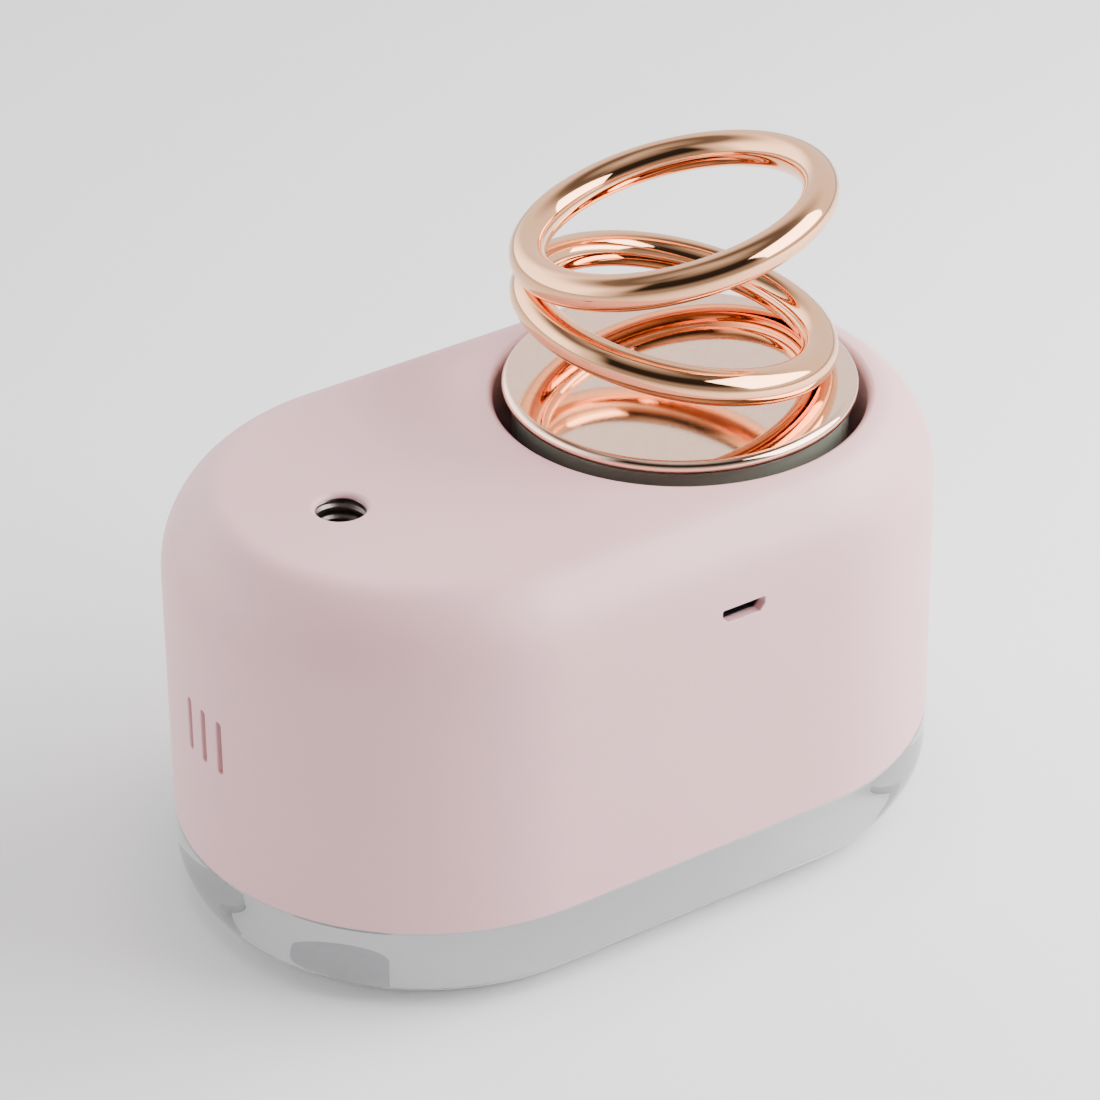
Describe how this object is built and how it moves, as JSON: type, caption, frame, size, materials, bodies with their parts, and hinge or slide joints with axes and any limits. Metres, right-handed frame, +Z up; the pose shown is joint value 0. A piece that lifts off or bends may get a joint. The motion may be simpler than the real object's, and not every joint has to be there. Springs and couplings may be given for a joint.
{
  "type": "aroma diffuser with rotating rings",
  "caption": "Tabletop aroma diffuser: pill-shaped shell on a clear lit base, with a mist nozzle and a glass scent jar on a turning table whose lid carries tilted metal rings.",
  "frame": {"origin": "middle of the footprint, on the surface the feet stand on", "axes": "+X along the body towards the jar end, +Y towards the side away from the charging slot, +Z up"},
  "size_m": [0.128, 0.08, 0.105],
  "materials": {
    "pink_shell": "soft satin",
    "clear_acrylic": "clear, polished",
    "white_plastic": "satin",
    "frosted_plastic": "frosted",
    "white_board": "solder mask",
    "white_film": "white reflective film",
    "lamp_chips": "clear resin",
    "grey_rubber": "matt",
    "plated_steel": "bright plated",
    "battery_wrap": "shrink film",
    "green_board": "solder mask",
    "black_plastic": "moulded",
    "motor_steel": "drawn can",
    "bronze": "sintered bronze",
    "dark_steel": "dark plated thread",
    "atomiser_brass": "plated disc",
    "clear_silicone": "translucent silicone",
    "tank_plastic": "translucent",
    "wick_fibre": "pressed cotton",
    "nylon": "natural nylon",
    "jar_glass": "polished",
    "scent_plaster": "unglazed, porous",
    "rose_gold_disc": "polished rose gold plate",
    "rose_gold": "mirror polished rose gold plate"
  },
  "bodies": {
    "housing": {"shell": "pink_shell", "well_liner": "pink_shell", "clear_base": "clear_acrylic", "base_reflector": "white_film", "chassis": "white_plastic", "light_diffuser": "frosted_plastic", "led_board": "white_board", "leds": "lamp_chips", "rubber_feet": "grey_rubber", "chassis_screws": "plated_steel", "battery": "battery_wrap", "main_board": "green_board", "board_parts": "black_plastic", "board_screws": "plated_steel", "usb_board": "green_board", "usb_socket": "plated_steel", "usb_tongue": "black_plastic", "motor": "motor_steel", "motor_bracket": "plated_steel", "motor_screws": "plated_steel", "upper_bush": "bronze", "lower_bush": "bronze", "nozzle_insert": "dark_steel", "atomiser_disc": "atomiser_brass", "atomiser_gaskets": "clear_silicone", "atomiser_holder": "white_plastic", "tank": "tank_plastic", "tank_seal": "clear_silicone", "wick": "wick_fibre", "wick_tube": "tank_plastic", "button_board": "green_board", "button_switch": "black_plastic"},
    "turning_table": {"turntable": "white_plastic", "spindle": "plated_steel", "thrust_washer": "nylon", "grip_pad": "grey_rubber", "driven_gear": "nylon"},
    "motor_rotor": {"motor_shaft": "plated_steel", "pinion": "nylon"},
    "jar": {"glass_jar": "jar_glass", "scent_stone": "scent_plaster"},
    "lid": {"lid_disc": "rose_gold_disc", "lid_seal": "clear_silicone", "lower_ring": "rose_gold", "upper_ring": "rose_gold"},
    "button": {"power_button": "pink_shell", "switch_plunger": "black_plastic"}
  },
  "joints": [
    {"name": "table_spin", "type": "hinge", "parent": "housing", "child": "turning_table", "pos_m": [0.024, 0, 0.0364], "axis": [0, 0, 1], "continuous": true},
    {"name": "pinion_spin", "type": "hinge", "parent": "housing", "child": "motor_rotor", "pos_m": [0.006, 0, 0.0295], "axis": [0, 0, 1], "continuous": true},
    {"name": "jar_lift", "type": "slide", "parent": "turning_table", "child": "jar", "axis": [0, 0, 1], "range_m": [0, 0.036]},
    {"name": "lid_lift", "type": "slide", "parent": "jar", "child": "lid", "axis": [0, 0, 1], "range_m": [0, 0.03]},
    {"name": "button_press", "type": "slide", "parent": "housing", "child": "button", "axis": [0, -1, 0], "range_m": [0, 0.0005], "stiffness_N_per_m": 400, "springref_m": -0.001}
  ],
  "couplings": [
    {"joint": "pinion_spin", "follows": "table_spin", "ratio": -3}
  ]
}
